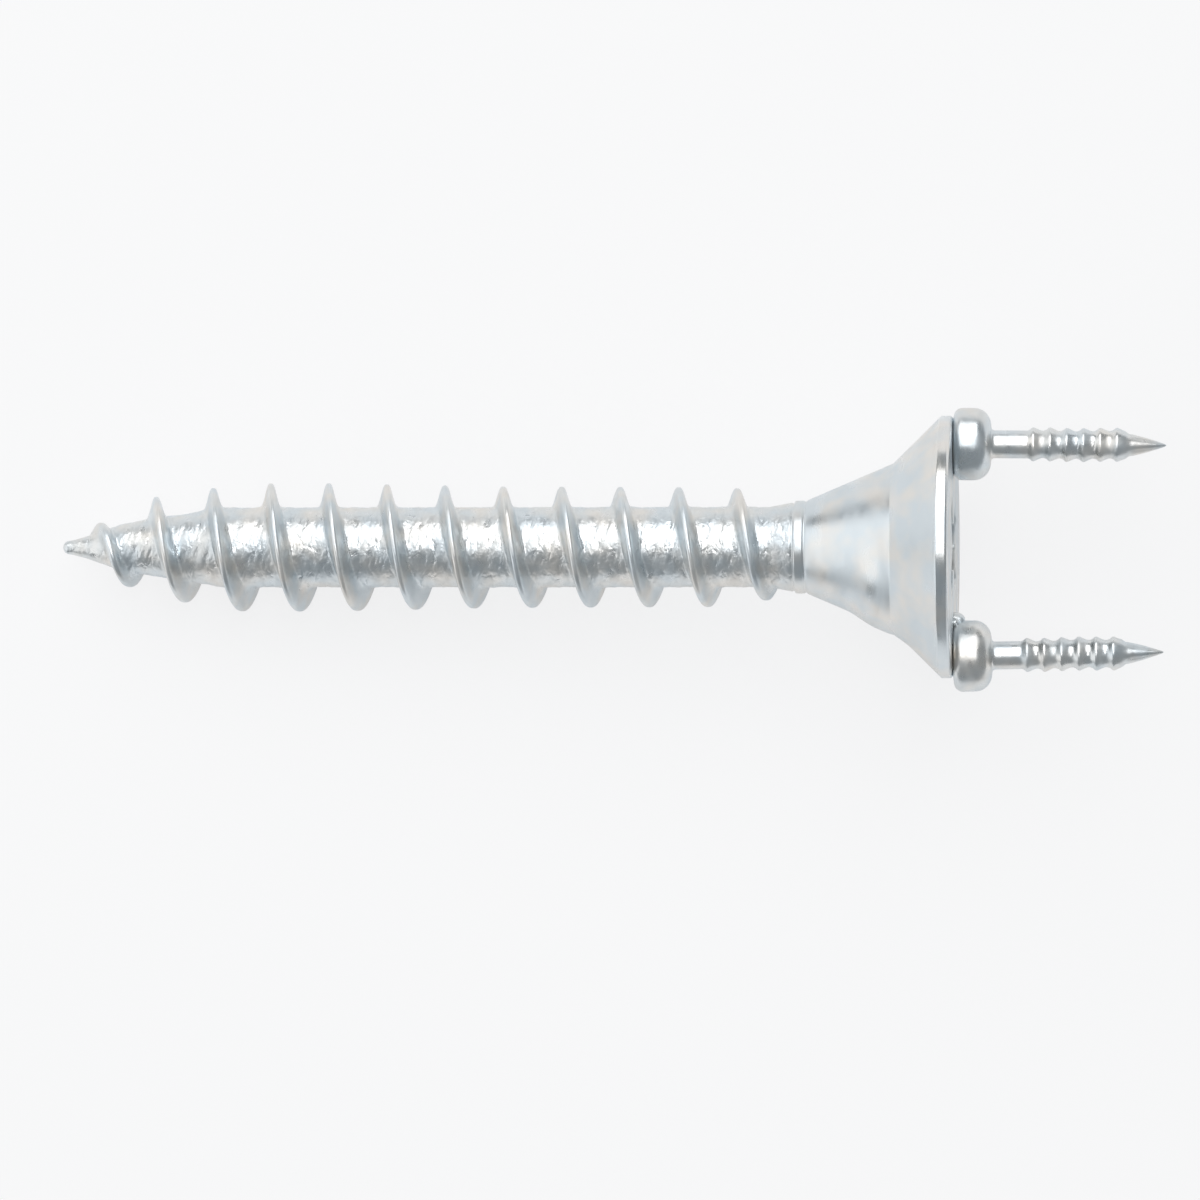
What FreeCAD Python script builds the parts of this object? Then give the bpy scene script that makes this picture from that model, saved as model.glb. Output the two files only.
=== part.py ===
import FreeCAD, Part
import math
import os

V = FreeCAD.Vector

# Lengths are in millimetres. On its own axis the screw runs along +X,
# point at 0, and a turn is counted from +Y towards +Z.

# Main screw, the whole length and the thread
screw_length = 34.8
core_diameter = 3.1
crest_diameter = 5.0
crest_diameter_worn = 4.72
thread_pitch = 2.28
ridge_foot_width = 0.62
first_crest_on_y = 1.276
ridge_start = 0.35
ridge_start_height = 0.06

# The point, a steep cone and then a slower one
nose_radius = 0.2
point_steep_length = 2.38
point_steep_radius = 0.92
point_length = 6.3
crest_slope_length = 2.69
crest_slope_radius = 1.56
crest_shoulder_length = 3.63
crest_shoulder_radius = 1.97
crest_full_length = 7.1

# Turns after the full length of the crest at which wear begins and ends
wear_start_turns = 1.5
wear_end_turns = 4.5

# The run-out of the thread, counted back from the flared neck
fade_length = 2.0
fade_wear = 0.04
runout_knee_length = 0.57
runout_knee_share = 0.62
runout_length = 0.55
buried_height = 0.03

# Neck and head, from the core to the flat face
neck_taper_length = 1.0
neck_taper_rise = 0.195
neck_lap_share = 0.1
collar_width = 0.46
collar_rise = 0.05
flare_half_angle = 23.3
crease_diameter = 6.48
sink_half_angle = 45.0
head_diameter = 10.14
rim_land = 0.47
rim_corner_radius = 0.1

# Cross recess in the face, turned halfway between the pins
recess_diameter = 4.6
recess_bottom_diameter = 2.3
recess_side_angle = 26.5
recess_wing_width = 1.15
recess_web_diameter = 2.5
recess_bottom_half_angle = 70.0
recess_turn = 45.0
recess_overcut = 0.2

# Pins, welded by their heads on the face. An inset runs from the rim to the pin's axis.
pin_shank_diameter = 1.08
pin_point_length = 1.84
pin_point_flat = 0.05
pin_foot_rise = 0.6
pin_foot_inset = 0.2
pin_corner_share = 0.35
upper_face_corner = 0.35
lower_face_corner = 0.16
pin_shank_corner = 0.7
upper_reach = 8.2
upper_inset = 1.09
upper_lean = 0.5
upper_head_diameter = 2.8
upper_head_height = 1.44
lower_reach = 8.1
lower_inset = 0.84
lower_lean = 1.2
lower_head_diameter = 2.75
lower_head_height = 1.47

# A drop of weld metal beside the lower pin
weld_bead_radius = 0.3
weld_bead_height = 0.48
weld_bead_waist_height = 0.24
weld_bead_waist_radius = 0.255
weld_bead_top_height = 0.45
weld_bead_top_radius = 0.12

POINTS_PER_TURN = 8
REST_STEPS = 72
DEGREE = 3

core_r = core_diameter / 2
crest_r = crest_diameter / 2
worn_r = crest_diameter_worn / 2
rim_r = head_diameter / 2
crease_r = crease_diameter / 2
taper_r = core_r + neck_taper_rise
collar_r = taper_r + collar_rise

# Stations along the axis, found from the face back to the thread
sink_length = (rim_r - crease_r) / math.tan(math.radians(sink_half_angle))
flare_length = (crease_r - collar_r) / math.tan(math.radians(flare_half_angle))
rim_start = screw_length - rim_land
crease_x = rim_start - sink_length
flare_x = crease_x - flare_length
collar_x = flare_x - collar_width
taper_x = collar_x - neck_taper_length


def along(stations, x):
    """Radius at x on a line drawn through a few stations."""
    if x <= stations[0][0]:
        return stations[0][1]
    for (xa, ra), (xb, rb) in zip(stations, stations[1:]):
        if x <= xb:
            return ra + (rb - ra) * (x - xa) / (xb - xa)
    return stations[-1][1]


def core_radius(x):
    stations = [(0.0, nose_radius), (point_steep_length, point_steep_radius), (point_length, core_r)]
    return along(stations, x)


def crest_radius(x):
    """Crest of the thread, which climbs the point, wears slimmer and runs out at the neck."""
    runout_end = taper_x + runout_length
    stations = [(ridge_start, core_radius(ridge_start) + ridge_start_height),
                (crest_slope_length, crest_slope_radius),
                (crest_shoulder_length, crest_shoulder_radius),
                (crest_full_length, crest_r),
                (crest_full_length + wear_start_turns * thread_pitch, crest_r),
                (crest_full_length + wear_end_turns * thread_pitch, worn_r),
                (runout_end - fade_length, worn_r - fade_wear),
                (runout_end - runout_knee_length, core_r + runout_knee_share * (worn_r - core_r)),
                (runout_end, core_r + buried_height)]
    return max(along(stations, x), core_radius(x) + buried_height)


def ridge_points(edge, count):
    """One edge of the ridge: -1 and 1 are its feet on the core, 0 its crest."""
    shift = edge * ridge_foot_width / 2
    points = []
    for i in range(count + 1):
        x = ridge_start + thread_pitch * i / POINTS_PER_TURN
        turn = 2 * math.pi * (x - first_crest_on_y) / thread_pitch
        radius = core_radius(x + shift) if edge else crest_radius(x)
        points.append(V(x + shift, radius * math.cos(turn), radius * math.sin(turn)))
    return points


def smooth_curve(points):
    curve = Part.BSplineCurve()
    curve.interpolate(Points=points, Parameters=[float(i) for i in range(len(points))])
    return curve


def piece_of(curve, start, end):
    part = curve.copy()
    part.segment(float(start), float(end))
    return part


def strips(first, second):
    """Ruled faces between two curves with the same knots, one face for each turn."""
    knots = first.getKnots()
    poles = [[p, q] for p, q in zip(first.getPoles(), second.getPoles())]
    surface = Part.BSplineSurface()
    surface.buildFromPolesMultsKnots(poles, first.getMultiplicities(), [2, 2], knots, [0.0, 1.0],
                                     False, False, DEGREE, 1)
    faces = []
    start = knots[0]
    while start < knots[-1] - 0.5:
        faces.append(surface.toShape(start, start + POINTS_PER_TURN, 0.0, 1.0))
        start += POINTS_PER_TURN
    return faces


def fan(apex, curve):
    """Straight lines from one point to every point of a curve."""
    poles = [[apex, q] for q in curve.getPoles()]
    surface = Part.BSplineSurface()
    surface.buildFromPolesMultsKnots(poles, curve.getMultiplicities(), [2, 2], curve.getKnots(), [0.0, 1.0],
                                     False, False, DEGREE, 1)
    return surface.toShape()


def flat_face(points):
    return Part.Face(Part.makePolygon(points + [points[0]]))


def threaded_shank():
    """Core and ridge as one closed skin, from the point to inside the neck."""
    turns = int(math.ceil((taper_x + runout_length - ridge_start) / thread_pitch)) + 1
    one = POINTS_PER_TURN
    count = turns * one
    left, crest, right = [ridge_points(edge, count) for edge in (-1, 0, 1)]
    left_curve, crest_curve, right_curve = [smooth_curve(points) for points in (left, crest, right)]
    faces = strips(left_curve, crest_curve) + strips(crest_curve, right_curve)
    faces += strips(piece_of(right_curve, 0, count - one), piece_of(left_curve, one, count))
    tip = V(0, 0, 0)
    faces.append(fan(tip, piece_of(left_curve, 0, one)))
    faces.append(flat_face([tip, left[0], crest[0], right[0], left[one]]))
    inner = V(right[count].x + core_r, 0, 0)
    faces.append(fan(inner, piece_of(right_curve, count - one, count)))
    faces.append(flat_face([inner, right[count - one], left[count], crest[count], right[count]]))
    skin = Part.makeShell(faces)
    skin.sewShape()
    solid = Part.makeSolid(skin)
    if solid.Volume < 0:
        solid.reverse()
    return solid


def turned(profile):
    """Body turned about the X axis from a closed outline of (x, radius) corners."""
    points = [V(x, r, 0) for x, r in profile]
    return flat_face(points).revolve(V(0, 0, 0), V(1, 0, 0), 360)


def head_body():
    """Flared neck, collar, outer cone, rim land and flat face."""
    start = taper_x + neck_lap_share * neck_taper_length
    start_r = core_r + neck_lap_share * neck_taper_rise
    c = rim_corner_radius
    side = c * math.sin(math.radians(sink_half_angle))
    drop = c * math.cos(math.radians(sink_half_angle))
    profile = [(start, 0), (start, start_r), (collar_x, taper_r), (collar_x, collar_r), (flare_x, collar_r),
               (crease_x, crease_r), (rim_start - drop, rim_r - side), (rim_start + c, rim_r),
               (screw_length - c, rim_r), (screw_length, rim_r - c), (screw_length, 0)]
    return turned(profile)


def cross_recess():
    """Four tapering wings round a middle web, with a drilled cone at the bottom."""
    mouth_r = recess_diameter / 2
    bottom_r = recess_bottom_diameter / 2
    depth = (mouth_r - bottom_r) / math.tan(math.radians(recess_side_angle))
    bottom_x = screw_length - depth
    point_x = bottom_x - bottom_r / math.tan(math.radians(recess_bottom_half_angle))
    top_x = screw_length + recess_overcut
    top_r = mouth_r + recess_overcut * math.tan(math.radians(recess_side_angle))
    cone = turned([(point_x, 0), (bottom_x, bottom_r), (top_x, top_r), (top_x, 0)])
    half = recess_wing_width / 2
    low = point_x - recess_overcut
    height = top_x + recess_overcut - low
    wide = Part.makeBox(height, 4 * mouth_r, recess_wing_width, V(low, -2 * mouth_r, -half))
    tall = Part.makeBox(height, recess_wing_width, 4 * mouth_r, V(low, -half, -2 * mouth_r))
    web_half = recess_web_diameter / 2 * math.cos(math.radians(45))
    web = Part.makeBox(height, 2 * web_half, 2 * web_half, V(low, -web_half, -web_half))
    web.rotate(V(0, 0, 0), V(1, 0, 0), 45)
    cross = wide.fuse(tall).fuse(web)
    tool = cone.common(cross)
    tool.rotate(V(0, 0, 0), V(1, 0, 0), recess_turn)
    return tool


def main_screw():
    return threaded_shank().fuse(head_body()).cut(cross_recess())


def pin(side, inset, lean, reach, head_diameter, head_height, near):
    """A nail standing on the face and leaning inward, with a rounded head and a conical point."""
    length = reach / math.cos(math.radians(lean))
    shank_r = pin_shank_diameter / 2
    head_r = head_diameter / 2
    far = pin_shank_corner
    middle = pin_corner_share * far
    foot = [(-near, 0), (-near, head_r - near), (0, head_r - near),
            (pin_foot_rise * near, head_r - pin_foot_inset * near), (near, head_r)]
    top = [(head_height - far, head_r), (head_height - middle, head_r - middle), (head_height, head_r - far)]
    shank = [(head_height, shank_r), (length - pin_point_length, shank_r), (length, pin_point_flat),
             (length, 0)]
    body = turned(foot + top + shank)
    body.rotate(V(0, 0, 0), V(0, 0, 1), -side * lean)
    body.translate(V(screw_length, side * (rim_r - inset), 0))
    return body


def above_face(shape):
    """Keep only what stands on the outer side of the flat face."""
    size = 4 * rim_r
    return shape.common(Part.makeBox(size, size, size, V(screw_length, -size / 2, -size / 2)))


def upper_pin():
    return above_face(pin(1, upper_inset, upper_lean, upper_reach, upper_head_diameter, upper_head_height,
                          upper_face_corner))


def weld_bead():
    """A drop that froze on the face, with its flat side down."""
    return turned([(0, 0), (0, weld_bead_radius), (weld_bead_waist_height, weld_bead_waist_radius),
                   (weld_bead_top_height, weld_bead_top_radius), (weld_bead_height, 0)])


def lower_pin():
    """The lower nail, filled with weld metal at its foot, and a drop of it on its inner side."""
    body = pin(-1, lower_inset, lower_lean, lower_reach, lower_head_diameter, lower_head_height,
               lower_face_corner)
    bead = weld_bead()
    bead.translate(V(screw_length, lower_head_diameter / 2 + lower_inset - rim_r, 0))
    return above_face(body).fuse(bead)


def rest_tilt():
    """Smallest lift of the head at which rim and thread both touch a flat floor."""
    c = rim_corner_radius
    side = c * math.sin(math.radians(sink_half_angle))
    drop = c * math.cos(math.radians(sink_half_angle))
    rim = [(rim_start - drop, side - rim_r), (rim_start + c, -rim_r)]
    tilts = []
    x = crest_slope_length
    while x < taper_x:
        turn = 2 * math.pi * (x - first_crest_on_y) / thread_pitch
        low = crest_radius(x) * math.sin(turn)
        tilts.append(max(math.atan2(low - z, rx - x) for rx, z in rim))
        x += thread_pitch / REST_STEPS
    tilt = min(tilts)
    drop_z = min(rx * math.sin(tilt) + z * math.cos(tilt) for rx, z in rim)
    return tilt, drop_z


def lay_down(shape):
    """Tip the screw on to the floor and centre its length on the origin."""
    tilt, drop_z = rest_tilt()
    shape.rotate(V(0, 0, 0), V(0, 1, 0), -math.degrees(tilt))
    whole_length = (screw_length + upper_reach) * math.cos(tilt)
    shape.translate(V(-whole_length / 2, 0, -drop_z))
    return shape


os.makedirs("parts", exist_ok=True)
for name, make in (("main_screw", main_screw), ("upper_pin", upper_pin), ("lower_pin", lower_pin)):
    lay_down(make()).exportStep("parts/" + name + ".step")
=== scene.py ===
import math

import bpy
import numpy as np
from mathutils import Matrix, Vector


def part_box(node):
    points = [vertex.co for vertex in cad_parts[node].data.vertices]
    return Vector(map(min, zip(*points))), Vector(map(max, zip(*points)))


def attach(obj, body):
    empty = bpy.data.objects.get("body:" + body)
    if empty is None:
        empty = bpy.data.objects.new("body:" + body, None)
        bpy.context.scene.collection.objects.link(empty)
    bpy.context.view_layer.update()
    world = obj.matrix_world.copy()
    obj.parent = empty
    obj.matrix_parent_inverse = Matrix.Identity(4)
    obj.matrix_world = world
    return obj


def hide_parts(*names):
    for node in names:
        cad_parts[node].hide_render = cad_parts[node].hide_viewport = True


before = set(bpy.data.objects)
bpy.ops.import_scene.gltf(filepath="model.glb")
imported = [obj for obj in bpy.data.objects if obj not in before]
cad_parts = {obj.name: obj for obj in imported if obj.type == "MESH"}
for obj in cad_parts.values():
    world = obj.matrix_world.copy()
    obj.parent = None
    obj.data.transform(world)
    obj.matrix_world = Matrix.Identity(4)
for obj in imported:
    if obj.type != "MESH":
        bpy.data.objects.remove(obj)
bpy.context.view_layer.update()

bl_info = {
    "name": "Double-headed screw",
    "version": (1, 0, 0),
    "blender": (4, 5, 0),
    "location": "View3D > Sidebar > Screw",
    "description": "Builds a zinc-plated wood screw with two ring-shanked pins welded on its face",
    "category": "Add Mesh",
}

MM = 0.001

# Places along the screw, in millimetres from its point

THREAD_START = 0.45
THREAD_FADED = 28.0
THREAD_END = 28.55
SHAFT_END = 28.6
NECK_START = 27.4
CORE_END = 27.65
COLLAR_START, COLLAR_END = 28.68, 29.12
FLARE_END = 32.48
RIM_START = 34.2
CONE_END = 34.26

# Rings of the screw's mesh, close on the nose, thread and collar: first, last and how many

RING_SPANS = ((0.0, 0.3, 16), (0.335, 28.5698, 760), (28.62, 29.19, 20), (29.24, 32.40, 26),
              (32.44, 32.60, 5), (32.7, 34.2, 14))
RIM_RINGS = 20
SCREW_COLUMNS = 104
PIN_COLUMNS = 64
WELD_RINGS, WELD_COLUMNS = 15, 32

# Widths at the rim, and the height over the core where the ridge's flanks begin, in millimetres

RIM_CHAMFER = 0.1
POLISHED_BAND = 0.13
FLANK_HEIGHT = 0.3

# Finishes: depth of the streaks in metres, their scale, how much longer than wide they are, and roughness

FINISHES = {"zinc_rolled": (0.000070, 3300.0, 1.6, 0.35),
            "zinc_flank": (0.000010, 2200.0, 1.5, 0.38),
            "zinc_smooth": (0.000014, 1500.0, 3.5, 0.33),
            "zinc_polished": (0.000004, 1500.0, 3.0, 0.23),
            "zinc_pin": (0.000014, 2200.0, 1.5, 0.32)}
SCREW_FINISHES = ("zinc_rolled", "zinc_flank", "zinc_smooth", "zinc_polished")
ROLLED, FLANK, SMOOTH, POLISHED = range(4)
# Colours of the plating: the cool one is the zinc's own colour, the warm one is painted reflection of warm
# surroundings, laid in random patches
COOL_ZINC = (0.74, 0.79, 0.82, 1)
PAINTED_WARM_REFLECTION = (0.86, 0.83, 0.79, 1)

# Pins: side of the face, distance from the axis and lean towards it, then lengths in millimetres

UPPER_PIN = {"side": 1, "offset": 0.00398, "lean": math.radians(0.5), "reach": 8.2,
             "head_diameter": 2.8, "head_height": 1.44, "first_ring": 3.08, "spacing": 0.645}
LOWER_PIN = {"side": -1, "offset": 0.00423, "lean": math.radians(1.2), "reach": 8.1,
             "head_diameter": 2.75, "head_height": 1.47, "first_ring": 2.85, "spacing": 0.665}
PIN_RINGS = 6

# Weld drops by the lower pin: radius and height in millimetres, lumps, and place up and outwards in metres

WELD_DROPS = ((0.30, 0.46, 1.0, 0.0, 0.0),
              (0.20, 0.22, 3.0, 0.00034, 0.00006),
              (0.22, 0.26, 5.0, -0.00040, 0.00010))

# Studio: soft lamps with their place, width, height and share of the power, the room and the camera

LAMPS = (("key", (-0.02, 0.25, 0.25), 0.36, 0.32, 0.62),
         ("top", (0.0, 0.07, 0.60), 0.30, 0.26, 0.60),
         ("left", (-0.32, 0.0, 0.17), 0.60, 0.34, 0.51))
ROOM_COLOUR = (0.74, 0.79, 0.82, 1)
ROOM_STRENGTH = 0.37
FLOOR_WHITE = (0.98, 0.98, 0.985, 1)
FLOOR_WHITE_IN_METAL = 0.45
CAMERA_PLACE = (-0.00043, -0.00205, 0.300)
CAMERA_SPAN = 0.04718
SENSOR_WIDTH = 36.0


# Placing: the axis of the lying screw, from its point towards its face

def lying_axis():
    """Point of the screw, its axis and its up direction, read from the CAD pieces."""
    size = bpy.context.scene.screw_sizes
    tilt = size.tilt
    low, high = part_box("main_screw")
    along = Vector((math.cos(tilt), 0.0, math.sin(tilt)))
    up = Vector((-math.sin(tilt), 0.0, math.cos(tilt)))
    face_edge = high[2] - size.head_diameter / 2 * math.cos(tilt)
    point_z = face_edge - (size.screw_length - size.rim_corner) * math.sin(tilt)
    return Vector((low[0], 0.0, point_z)), along, up


def smoothstep(x):
    x = np.clip(x, 0.0, 1.0)
    return x * x * (3.0 - 2.0 * x)


def ripple(x, turn, scale, start):
    """Smooth, repeatable unevenness between about -1 and 1, from six waves over the length and the turn."""
    total = np.zeros_like(x)
    for k in range(1, 7):
        along, around = (1.7 + 0.83 * k) * scale * x, (k + 2) * turn
        total += np.sin(along + around + 1.9 * k * k + start) / (0.6 + 0.5 * k)
    return total / 2.2


def line(stations, x):
    """Radius at each length x, straight between the stations of an outline."""
    return np.interp(x, [s[0] for s in stations], [s[1] for s in stations])


# Meshes

def tube(x, radii, turns, origin, along, up):
    """Corners and faces of rings: radii[i, j] at length x[i, j] and its turn, closed at both ends."""
    rows, cols = radii.shape
    a, s, u = np.array(along), np.array(Vector(up).cross(Vector(along))), np.array(up)
    cos, sin = np.cos(turns), np.sin(turns)
    pos = (x[..., None] * a + (radii * cos)[..., None] * s + (radii * sin)[..., None] * u)
    pos = pos.reshape(-1, 3) * MM + np.array(origin)
    first = (x[0].mean() * a) * MM + np.array(origin)
    last = (x[-1].mean() * a) * MM + np.array(origin)
    verts = np.vstack([pos, first, last])
    i = np.arange(rows - 1)[:, None] * cols
    j = np.arange(cols)[None, :]
    k = (j + 1) % cols
    quads = np.stack([i + j, i + k, i + cols + k, i + cols + j], axis=-1).reshape(-1, 4)
    first_corner, last_corner = rows * cols, rows * cols + 1
    here, after = np.arange(cols), (np.arange(cols) + 1) % cols
    end_row = (rows - 1) * cols
    head = np.stack([np.full(cols, first_corner), after, here], axis=-1)
    tail = np.stack([np.full(cols, last_corner), end_row + here, end_row + after], axis=-1)
    return verts.tolist(), quads.tolist() + head.tolist() + tail.tolist()


def mesh_piece(name, tubes):
    """One object from one or more tubes."""
    corners, faces = [], []
    for some_corners, some_faces in tubes:
        faces += [[len(corners) + k for k in face] for face in some_faces]
        corners += some_corners
    mesh = bpy.data.meshes.new(name)
    mesh.from_pydata(corners, [], faces)
    mesh.update()
    mesh.polygons.foreach_set("use_smooth", np.ones(len(mesh.polygons), bool))
    piece = bpy.data.objects.new(name, mesh)
    bpy.context.scene.collection.objects.link(piece)
    return piece


# Shape of the main screw

def thread_radius(x, t):
    """Radius of the core with the ridge on it, and which places are the ridge's flanks."""
    z = bpy.context.scene.screw_sizes
    pitch = z.thread_pitch / MM
    core_radius = z.core_diameter / MM / 2
    core = [(0.0, 0.03), (0.03, 0.14), (0.09, 0.21), (0.18, 0.255), (0.40, 0.29), (0.9, 0.42), (2.38, 0.93),
            (4.58, 1.27), (6.3, core_radius), (CORE_END, core_radius)]
    crest = [(0.55, 0.33), (0.9, 0.58), (1.27, 0.86), (2.69, 1.60), (3.63, 1.97), (7.1, 2.5), (10.5, 2.5),
             (17.3, 2.36), (26.2, 2.32), (27.6, 2.06), (28.3, 1.60)]
    point_lag, lag_start, lag_fade = 0.12, 2.0, 2.5
    first_rise = 0.7
    ridge_half_width, ridge_bluntness = 0.248, 3.2
    hollow_half_width, hollow_share = 0.5, 0.05
    rough_below, smooth_above = 0.3, 0.7
    nose_end, rough_from = 0.8, 2.8
    lumps, roll_marks = 0.014, 0.009
    lag = point_lag * np.exp(-np.clip(x - lag_start, 0.0, None) / lag_fade)
    phase = (x - lag - z.first_crest / MM) / pitch - t / (2 * math.pi)
    away = (phase - np.round(phase)) * pitch
    body = line(core, x)
    rise = np.clip(line(crest, x - away) - body, 0.0, None) * smoothstep((x - THREAD_START) / first_rise)
    ridge = (1.0 - hollow_share) * np.exp(-(np.abs(away) / ridge_half_width) ** ridge_bluntness)
    shape = ridge + hollow_share * np.exp(-(away / hollow_half_width) ** 2)
    uneven = lumps * ripple(x, t, 2.08, 2.0) + roll_marks * ripple(x, 2 * t, 5.89, 5.0)
    off_the_ridge = 1.0 - smoothstep((shape - rough_below) / (smooth_above - rough_below))
    past_the_nose = smoothstep((x - nose_end) / (rough_from - nose_end))
    radius = body + rise * shape + uneven * off_the_ridge * past_the_nose
    return radius, (rise * shape > FLANK_HEIGHT) & (x < THREAD_FADED)


def neck_radius(x, t):
    """Radius of the collar with a groove on each side, the flare with its bulge, the cone and the rim."""
    z = bpy.context.scene.screw_sizes
    core_radius = z.core_diameter / MM / 2
    rim_radius = z.head_diameter / MM / 2
    length = z.screw_length / MM
    neck_end_radius, collar_radius, flare_radius, shoulder = 1.745, 1.80, 3.235, 0.08
    outline = [(27.2, core_radius - 0.05), (CORE_END, core_radius), (COLLAR_START - 0.01, neck_end_radius),
               (COLLAR_START, collar_radius), (COLLAR_END, collar_radius), (FLARE_END, flare_radius),
               (CONE_END, rim_radius - shoulder), (CONE_END + shoulder, rim_radius),
               (length - RIM_CHAMFER, rim_radius), (length, rim_radius - RIM_CHAMFER)]
    grooves = ((28.64, 0.055), (29.09, 0.04))
    groove_half_width = 0.05
    bulge_height, bulge_start, bulge_full, bulge_fades, bulge_end = 0.20, 30.6, 31.8, 32.2, 33.2
    radius = line(outline, x)
    for middle, depth in grooves:
        radius = radius - depth * np.exp(-((x - middle) / groove_half_width) ** 2)
    grows = smoothstep((x - bulge_start) / (bulge_full - bulge_start))
    fades = smoothstep((x - bulge_fades) / (bulge_end - bulge_fades))
    on_the_lower_side = np.clip(-np.cos(t), 0.0, 1.0) ** 2
    return radius + bulge_height * grows * (1 - fades) * on_the_lower_side


def screw_surface():
    """Lengths, radii and turns of the whole screw with its face and recess, and where its flanks are."""
    z = bpy.context.scene.screw_sizes
    length = z.screw_length / MM
    rim_radius = z.head_diameter / MM / 2
    gap_to_face = 0.02
    rim_rings = np.linspace(CONE_END, length - gap_to_face, RIM_RINGS)
    places = np.concatenate([np.linspace(*span) for span in RING_SPANS] + [rim_rings])
    turns = np.linspace(0.0, 2 * math.pi, SCREW_COLUMNS, endpoint=False)
    x = np.repeat(places[:, None], SCREW_COLUMNS, axis=1)
    t = np.repeat(turns[None, :], len(places), axis=0)
    thread, flank = thread_radius(x, t)
    with_neck = np.maximum(thread * (x < THREAD_END), neck_radius(x, t))
    r = np.where(x > NECK_START, with_neck, thread)
    face = face_rows(length, rim_radius - RIM_CHAMFER, turns)
    x, r, t = [np.vstack([rows, more]) for rows, more in zip((x, r, t), face)]
    flank = np.vstack([flank, np.zeros(face[0].shape, bool)])
    return x, r, t, flank


def face_rows(length, outer, turns):
    """Rings over the face and down into the cross recess: lengths, radii and turns."""
    half_wing, web, mouth, floor = 0.575, 1.2445, 2.3, 1.15
    wing_depth = 2.307
    mouth_margin = 1.015
    slope = math.tan(math.radians(26.5))
    floor_slope = math.tan(math.radians(70.0))
    shares_over_face = (0.04, 0.2, 0.4, 0.6, 0.8, 0.94, 0.985, 1.0)
    depths_down_wings = (0.03, 0.1, 0.3, 0.7, 1.1, 1.5, 1.9, 2.2, 2.29)
    shares_of_floor = (0.97, 0.9, 0.6, 0.3, 0.04)
    tip_columns, side_columns = 6, 12
    step = 2 * math.pi / len(turns)
    quarter = np.mod(turns - math.pi / 4, math.pi / 2)
    side = np.where(quarter > math.pi / 4, -1.0, 1.0)
    even = np.minimum(quarter, math.pi / 2 - quarter)
    web_corner = math.atan(half_wing / (web - half_wing))

    def outline(reach):
        """Radii and turns of the recess where its wings reach this far, with columns on its corners."""
        columns = [0.0, tip_columns * step, side_columns * step, math.pi / 4]
        corners = [0.0, math.asin(half_wing / reach), web_corner, math.pi / 4]
        a = np.interp(even, columns, corners)
        wing = half_wing / np.maximum(np.sin(a), 1e-6)
        return np.minimum(reach, np.maximum(wing, web / (np.cos(a) + np.sin(a)))), turns + side * (a - even)

    edge, edge_turns = outline(mouth)
    rows = []
    for share in shares_over_face:
        rows.append((np.full(len(turns), length), outer + (edge * mouth_margin - outer) * share,
                     turns + (edge_turns - turns) * share))
    for depth in depths_down_wings:
        radius, at = outline(mouth - depth * slope)
        rows.append((np.full(len(turns), length - depth), radius, at))
    radius, at = outline(floor)
    for share in shares_of_floor:
        deeper = np.clip(floor - radius * share, 0.0, None) / floor_slope
        rows.append((length - wing_depth - deeper, radius * share, at))
    return [np.array(part) for part in zip(*rows)]


# Shape of the pins

def pin_surface(pin):
    """Outline of a pin turned about its own axis: rounded head, plain shank, barbs, faceted point."""
    z = bpy.context.scene.screw_sizes
    shank = z.pin_shank_diameter / MM / 2
    barb = z.pin_barb_diameter / MM / 2
    head = pin["head_diameter"] / 2
    top = pin["head_height"]
    first_ring, spacing, reach = pin["first_ring"], pin["spacing"], pin["reach"]
    last_ring = first_ring + (PIN_RINGS - 1) * spacing
    foot_corner, top_corner = 0.34, 0.66
    point_spacing, barb_wobble, facet_depth = 0.12, 0.012, 0.07
    outline = [(0.0, head - foot_corner)]
    for a in np.linspace(0.0, math.pi / 2, 9):
        outline.append((foot_corner * (1 - math.cos(a)), head - foot_corner + foot_corner * math.sin(a)))
    for a in np.linspace(0.0, math.pi / 2, 13):
        outline.append((top - top_corner + top_corner * math.sin(a),
                        head - top_corner + top_corner * math.cos(a)))
    outline += [(top + 0.005, shank + 0.16), (top + 0.03, shank + 0.05), (top + 0.12, shank),
                (first_ring - 0.30, shank)]
    for x in (first_ring + i * spacing for i in range(PIN_RINGS)):
        outline += [(x - 0.24, shank - 0.01), (x - 0.14, shank + 0.03), (x - 0.06, barb - 0.02), (x, barb),
                    (x + 0.06, barb - 0.02), (x + 0.18, shank + 0.045), (x + 0.32, shank - 0.01)]
    outline += [(last_ring + 0.46, 0.42), (last_ring + 1.10, 0.27), (last_ring + 1.50, 0.16),
                (reach - 0.05, 0.045), (reach, 0.012)]
    fine = refined(outline, point_spacing)
    turns = np.linspace(0.0, 2 * math.pi, PIN_COLUMNS, endpoint=False)
    x = np.repeat(np.array([p[0] for p in fine])[:, None], PIN_COLUMNS, axis=1)
    r = np.repeat(np.array([p[1] for p in fine])[:, None], PIN_COLUMNS, axis=1)
    t = np.repeat(turns[None, :], len(fine), axis=0)
    on_barbs = (x > first_ring - 0.2) & (x < last_ring + 0.3)
    on_point = smoothstep((x - last_ring - 0.35) / 0.3)
    r = r + np.where(on_barbs, barb_wobble * np.sin(3 * t + 2.3 * x * pin["side"]), 0.0)
    return x, r * (1.0 + facet_depth * on_point * np.cos(4 * t)), turns


def refined(outline, spacing):
    """The outline with more points, so that none stand further apart than about the spacing."""
    fine = [outline[0]]
    for (xa, ra), (xb, rb) in zip(outline, outline[1:]):
        steps = max(1, int(math.hypot(xb - xa, rb - ra) / spacing))
        fine += [(xa + (xb - xa) * k / steps, ra + (rb - ra) * k / steps) for k in range(1, steps + 1)]
    return fine


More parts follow.
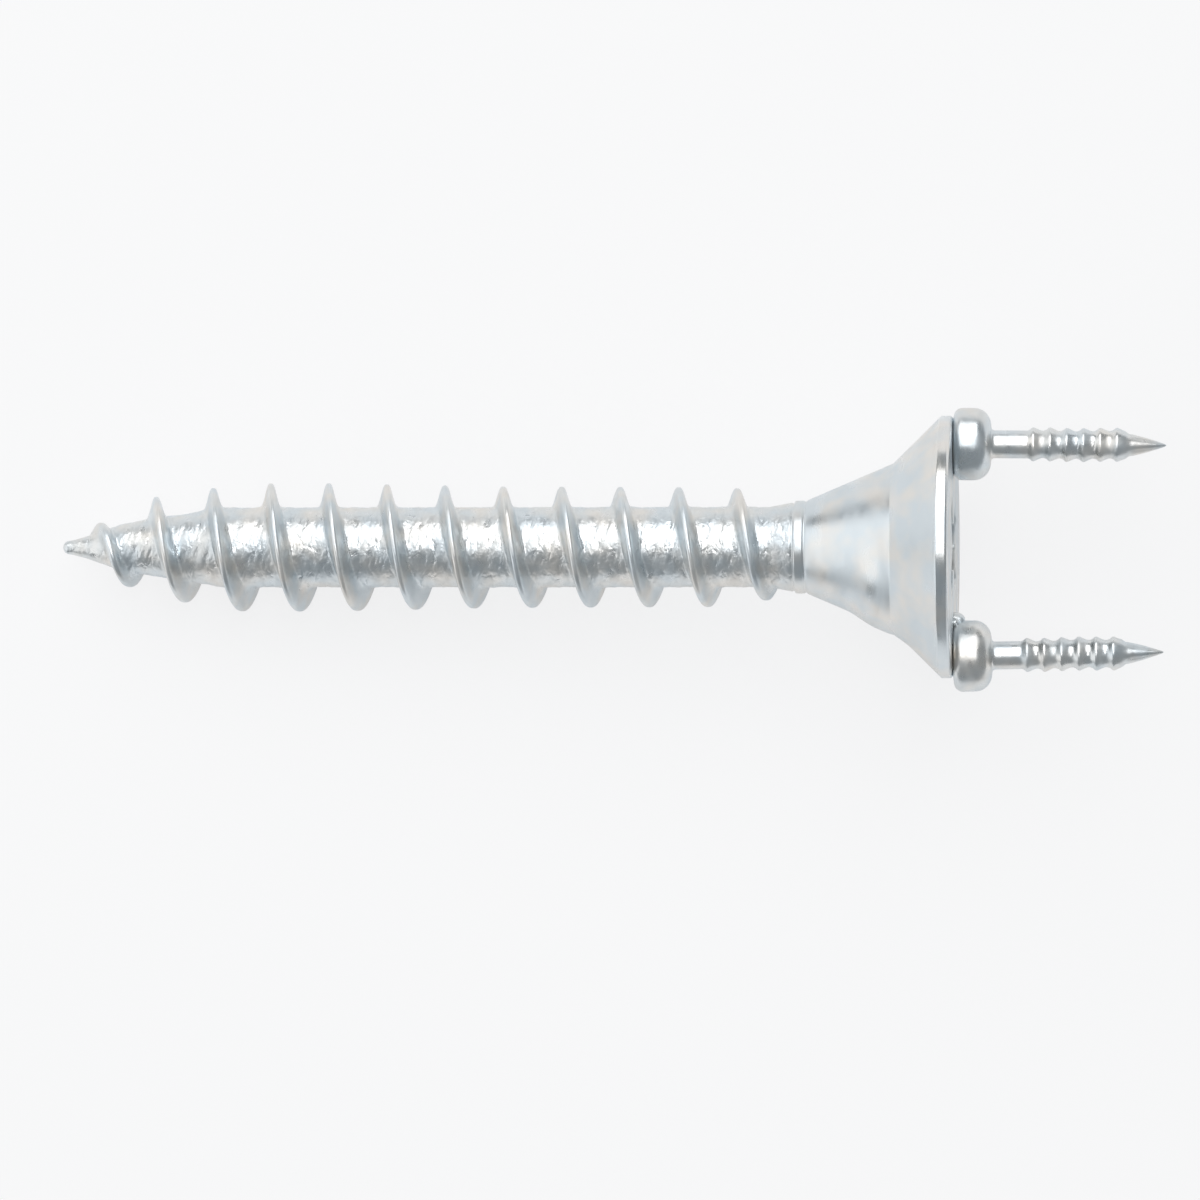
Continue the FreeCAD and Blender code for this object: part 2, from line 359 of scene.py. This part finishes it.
def weld_drop(radius, height, lumps):
    """A drop of weld metal, lumpy and round on top."""
    rise = np.linspace(0.0, 1.0, WELD_RINGS)
    turns = np.linspace(0.0, 2 * math.pi, WELD_COLUMNS, endpoint=False)
    x = np.repeat((height * rise)[:, None], WELD_COLUMNS, axis=1)
    r = radius * np.sqrt(np.clip(1.0 - rise ** 3, 0.0004, 1.0))[:, None] * np.ones(WELD_COLUMNS)
    twofold = 0.07 * np.sin(2 * turns + lumps + 3.0 * rise[:, None])
    fivefold = 0.04 * np.sin(5 * turns + 2 * lumps)
    return x, r * (1.0 + twofold + fivefold), turns


def make_pin(name, pin, drops=()):
    """A pin on the face with the weld drops beside its head."""
    z = bpy.context.scene.screw_sizes
    origin, along, up = lying_axis()
    across = Vector((0.0, 1.0, 0.0))
    own = (along * math.cos(pin["lean"]) - across * (pin["side"] * math.sin(pin["lean"]))).normalized()
    foot = origin + along * z.screw_length + across * (pin["side"] * pin["offset"])
    inner = foot - across * (pin["side"] * pin["head_diameter"] / 2 * MM)
    tubes = [tube(*pin_surface(pin), foot, own, up)]
    for radius, height, lumps, higher, outwards in drops:
        place = inner + up * higher + across * (pin["side"] * outwards)
        tubes.append(tube(*weld_drop(radius, height, lumps), place, along, up))
    piece = mesh_piece(name, tubes)
    piece.data.materials.append(zinc("zinc_pin"))
    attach(piece, "root")
    return piece


# Materials

def node(tree, kind, **values):
    """A new node with its sockets and settings filled in."""
    made = tree.nodes.new(kind)
    for key, value in values.items():
        if key in made.inputs:
            made.inputs[key].default_value = value
        else:
            setattr(made, key, value)
    return made


def map_range(tree, low, high, to_low, to_high):
    made = tree.nodes.new("ShaderNodeMapRange")
    for name, value in (("From Min", low), ("From Max", high), ("To Min", to_low), ("To Max", to_high)):
        made.inputs[name].default_value = value
    return made


def plating_group():
    """Zinc plating: its own cool tint with random warm patches of painted reflection, its gloss and the
    height of streaks left by the rolls.
    """
    cool_below, painted_reflection_above = 0.40, 0.68
    glossier, duller = -0.08, 0.12
    grain_share = 0.12
    group = bpy.data.node_groups.new("zinc_plating", "ShaderNodeTree")
    face = group.interface
    for name, start in (("Streak Scale", 3000.0), ("Streak Length", 2.5), ("Grain Scale", 9000.0),
                        ("Tint Scale", 700.0), ("Dull", 0.30)):
        socket = face.new_socket(name=name, in_out="INPUT", socket_type="NodeSocketFloat")
        socket.default_value = start
    face.new_socket(name="Color", in_out="OUTPUT", socket_type="NodeSocketColor")
    face.new_socket(name="Roughness", in_out="OUTPUT", socket_type="NodeSocketFloat")
    face.new_socket(name="Height", in_out="OUTPUT", socket_type="NodeSocketFloat")
    come = group.nodes.new("NodeGroupInput")
    go = group.nodes.new("NodeGroupOutput")
    link = group.links.new
    where = node(group, "ShaderNodeTexCoord")
    squeeze = node(group, "ShaderNodeMath", operation="DIVIDE")
    squeeze.inputs[0].default_value = 1.0
    link(come.outputs["Streak Length"], squeeze.inputs[1])
    share = group.nodes.new("ShaderNodeCombineXYZ")
    share.inputs["X"].default_value = 1.0
    link(squeeze.outputs["Value"], share.inputs["Y"])
    link(squeeze.outputs["Value"], share.inputs["Z"])
    stretched = node(group, "ShaderNodeVectorMath", operation="MULTIPLY")
    link(where.outputs["Object"], stretched.inputs[0])
    link(share.outputs["Vector"], stretched.inputs[1])
    streaks = node(group, "ShaderNodeTexNoise", Detail=2.5, Roughness=0.5, Distortion=0.4)
    grain = node(group, "ShaderNodeTexNoise", Detail=2.0, Roughness=0.5)
    tint = node(group, "ShaderNodeTexNoise", Detail=2.0)
    for texture, name, place in ((streaks, "Streak Scale", stretched.outputs["Vector"]),
                                 (grain, "Grain Scale", where.outputs["Object"]),
                                 (tint, "Tint Scale", where.outputs["Object"])):
        link(place, texture.inputs["Vector"])
        link(come.outputs[name], texture.inputs["Scale"])
    # Tint runs from the zinc's own cool colour to a warm painted reflection, in random patches
    colour = node(group, "ShaderNodeValToRGB")
    cool, warm_reflection = colour.color_ramp.elements
    cool.position, cool.color = cool_below, COOL_ZINC
    warm_reflection.position, warm_reflection.color = painted_reflection_above, PAINTED_WARM_REFLECTION
    link(tint.outputs["Fac"], colour.inputs["Fac"])
    mottle = map_range(group, 0.35, 0.65, glossier, duller)
    link(streaks.outputs["Fac"], mottle.inputs["Value"])
    gloss = node(group, "ShaderNodeMath", operation="ADD")
    link(come.outputs["Dull"], gloss.inputs[0])
    link(mottle.outputs["Result"], gloss.inputs[1])
    total = node(group, "ShaderNodeMath", operation="MULTIPLY_ADD")
    total.inputs[1].default_value = grain_share
    link(grain.outputs["Fac"], total.inputs[0])
    link(streaks.outputs["Fac"], total.inputs[2])
    link(colour.outputs["Color"], go.inputs["Color"])
    link(gloss.outputs["Value"], go.inputs["Roughness"])
    link(total.outputs["Value"], go.inputs["Height"])
    return group


def zinc(name):
    """One of the finishes, made once: rolled root, flanks, smooth head, polished rim or pins."""
    if name in bpy.data.materials:
        return bpy.data.materials[name]
    group = bpy.data.node_groups.get("zinc_plating") or plating_group()
    depth, scale, length, dull = FINISHES[name]
    material = bpy.data.materials.new(name)
    material.use_nodes = True
    tree = material.node_tree
    shader = tree.nodes["Principled BSDF"]
    shader.inputs["Metallic"].default_value = 1.0
    plating = tree.nodes.new("ShaderNodeGroup")
    plating.node_tree = group
    for socket, value in (("Streak Scale", scale), ("Streak Length", length), ("Dull", dull)):
        plating.inputs[socket].default_value = value
    bump = node(tree, "ShaderNodeBump", Strength=1.0, Distance=depth)
    tree.links.new(plating.outputs["Color"], shader.inputs["Base Color"])
    tree.links.new(plating.outputs["Roughness"], shader.inputs["Roughness"])
    tree.links.new(plating.outputs["Height"], bump.inputs["Height"])
    tree.links.new(bump.outputs["Normal"], shader.inputs["Normal"])
    return material


def floor_paint():
    """Pale paint that the camera, and in part the metal, sees as nearly white, with the screw's shadow."""
    z = bpy.context.scene.screw_sizes
    paint = bpy.data.materials.new("floor_paint")
    paint.use_nodes = True
    tree = paint.node_tree
    shader = tree.nodes["Principled BSDF"]
    shader.inputs["Base Color"].default_value = (*z.floor_colour, 1)
    shader.inputs["Roughness"].default_value = 0.9
    seen = tree.nodes.new("ShaderNodeLightPath")
    either = node(tree, "ShaderNodeMath", operation="MULTIPLY_ADD")
    either.inputs[1].default_value = FLOOR_WHITE_IN_METAL
    part = node(tree, "ShaderNodeMath", operation="MULTIPLY")
    part.inputs[1].default_value = z.floor_glow
    glow = node(tree, "ShaderNodeEmission", Color=FLOOR_WHITE)
    mix = tree.nodes.new("ShaderNodeMixShader")
    link = tree.links.new
    link(seen.outputs["Is Glossy Ray"], either.inputs[0])
    link(seen.outputs["Is Camera Ray"], either.inputs[2])
    link(either.outputs["Value"], part.inputs[0])
    link(part.outputs["Value"], mix.inputs["Fac"])
    link(shader.outputs["BSDF"], mix.inputs[1])
    link(glow.outputs["Emission"], mix.inputs[2])
    link(mix.outputs["Shader"], tree.nodes["Material Output"].inputs["Surface"])
    return paint


# Stage

def place_floor():
    mesh = bpy.data.meshes.new("floor")
    far = 1.0
    mesh.from_pydata([(-far, -far, 0), (far, -far, 0), (far, far, 0), (-far, far, 0)], [], [(0, 1, 2, 3)])
    mesh.materials.append(floor_paint())
    floor = bpy.data.objects.new("floor", mesh)
    bpy.context.scene.collection.objects.link(floor)


def place_lights():
    scene = bpy.context.scene
    world = bpy.data.worlds.new("studio")
    world.use_nodes = True
    room = world.node_tree.nodes["Background"]
    room.inputs["Color"].default_value = ROOM_COLOUR
    room.inputs["Strength"].default_value = ROOM_STRENGTH
    scene.world = world
    for name, place, width, height, power in LAMPS:
        lamp = bpy.data.lights.new(name, "AREA")
        lamp.shape = "RECTANGLE"
        lamp.size = width
        lamp.size_y = height
        lamp.energy = scene.screw_sizes.light_power * power
        item = bpy.data.objects.new(name, lamp)
        item.location = place
        item.rotation_euler = (-Vector(place)).to_track_quat("-Z", "Y").to_euler()
        scene.collection.objects.link(item)


def place_camera():
    """The camera looks straight down, and its view is CAMERA_SPAN wide on the floor."""
    scene = bpy.context.scene
    lens = bpy.data.cameras.new("camera")
    lens.sensor_width = SENSOR_WIDTH
    lens.lens = SENSOR_WIDTH * CAMERA_PLACE[2] / CAMERA_SPAN
    lens.clip_start = 0.001
    view = bpy.data.objects.new("camera", lens)
    view.location = CAMERA_PLACE
    scene.collection.objects.link(view)
    scene.camera = view
    scene.view_settings.view_transform = "Standard"


class ScrewSizes(bpy.types.PropertyGroup):
    """Sizes of the screw, in metres, and the light."""
    screw_length: bpy.props.FloatProperty(
        name="Screw length", description="Point to face", default=0.0348, subtype="DISTANCE", unit="LENGTH")
    thread_pitch: bpy.props.FloatProperty(
        name="Pitch", description="Length of one turn of the thread", default=0.00228,
        subtype="DISTANCE", unit="LENGTH", precision=5)
    first_crest: bpy.props.FloatProperty(
        name="First crest", description="Where the crest first faces +Y", default=0.00133,
        subtype="DISTANCE", unit="LENGTH", precision=6)
    core_diameter: bpy.props.FloatProperty(
        name="Core", description="Diameter under the thread", default=0.0031,
        subtype="DISTANCE", unit="LENGTH", precision=5)
    head_diameter: bpy.props.FloatProperty(
        name="Head", description="Diameter over the rim", default=0.01014,
        subtype="DISTANCE", unit="LENGTH", precision=5)
    rim_corner: bpy.props.FloatProperty(
        name="Rim corner", description="Rounding of the rim's edges", default=0.0001,
        subtype="DISTANCE", unit="LENGTH", precision=5)
    tilt: bpy.props.FloatProperty(
        name="Tilt", description="Lift of the head as the screw lies", default=math.radians(5.4609),
        subtype="ANGLE", unit="ROTATION")
    pin_shank_diameter: bpy.props.FloatProperty(
        name="Pin shank", description="Diameter between the barbs", default=0.00108,
        subtype="DISTANCE", unit="LENGTH", precision=5)
    pin_barb_diameter: bpy.props.FloatProperty(
        name="Pin barbs", description="Diameter over the barbs", default=0.00132,
        subtype="DISTANCE", unit="LENGTH", precision=5)
    floor_colour: bpy.props.FloatVectorProperty(
        name="Floor", description="Colour of the floor", default=(0.93, 0.93, 0.93), size=3,
        subtype="COLOR")
    floor_glow: bpy.props.FloatProperty(
        name="Floor glow", description="Share of plain white in the floor as seen", default=0.8,
        min=0.0, max=1.0)
    light_power: bpy.props.FloatProperty(
        name="Light", description="Power of the main soft light", default=1.0, subtype="POWER", unit="POWER")


class OBJECT_OT_main_screw(bpy.types.Operator):
    """Add the threaded screw with its flared head"""
    bl_idname = "screw.main_screw"
    bl_label = "Main screw"

    def execute(self, context):
        z = context.scene.screw_sizes
        origin, along, up = lying_axis()
        x, r, t, flank = screw_surface()
        piece = mesh_piece("screw_body", [tube(x, r, t, origin, along, up)])
        for name in SCREW_FINISHES:
            piece.data.materials.append(zinc(name))
        rim = (r > z.head_diameter / MM / 2 - POLISHED_BAND) & (x > RIM_START)
        rows = np.where(rim, POLISHED, np.where(x > SHAFT_END, SMOOTH, np.where(flank, FLANK, ROLLED)))
        nose, recess = np.full(SCREW_COLUMNS, ROLLED), np.full(SCREW_COLUMNS, SMOOTH)
        kinds = np.concatenate([rows[:-1].ravel(), nose, recess]).astype(np.int32)
        piece.data.polygons.foreach_set("material_index", kinds)
        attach(piece, "root")
        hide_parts("main_screw")
        return {"FINISHED"}


class OBJECT_OT_pins(bpy.types.Operator):
    """Add the two ring-shanked pins on the face"""
    bl_idname = "screw.pins"
    bl_label = "Pins"

    def execute(self, context):
        upper = make_pin("pin_upper", UPPER_PIN)
        lower = make_pin("pin_lower", LOWER_PIN, WELD_DROPS)
        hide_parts("upper_pin")
        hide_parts("lower_pin")
        return {"FINISHED"}


class OBJECT_OT_stage(bpy.types.Operator):
    """Add the floor, the soft lights and the camera"""
    bl_idname = "screw.stage"
    bl_label = "Stage"

    def execute(self, context):
        place_floor()
        place_lights()
        place_camera()
        return {"FINISHED"}


class VIEW3D_PT_screw(bpy.types.Panel):
    """Sizes and buttons for the screw"""
    bl_idname = "VIEW3D_PT_screw"
    bl_label = "Double-headed screw"
    bl_space_type = "VIEW_3D"
    bl_region_type = "UI"
    bl_category = "Screw"

    def draw(self, context):
        layout = self.layout
        for name in ScrewSizes.__annotations__:
            layout.prop(context.scene.screw_sizes, name)
        for step in STEPS:
            layout.operator(step.bl_idname)


STEPS = (OBJECT_OT_stage, OBJECT_OT_main_screw, OBJECT_OT_pins)
CLASSES = (ScrewSizes,) + STEPS + (VIEW3D_PT_screw,)


def register():
    for item in CLASSES:
        bpy.utils.register_class(item)
    bpy.types.Scene.screw_sizes = bpy.props.PointerProperty(type=ScrewSizes)


def unregister():
    del bpy.types.Scene.screw_sizes
    for item in reversed(CLASSES):
        bpy.utils.unregister_class(item)


def main():
    register()
    bpy.ops.screw.stage()
    bpy.ops.screw.main_screw()
    bpy.ops.screw.pins()


if __name__ == "__main__":
    main()
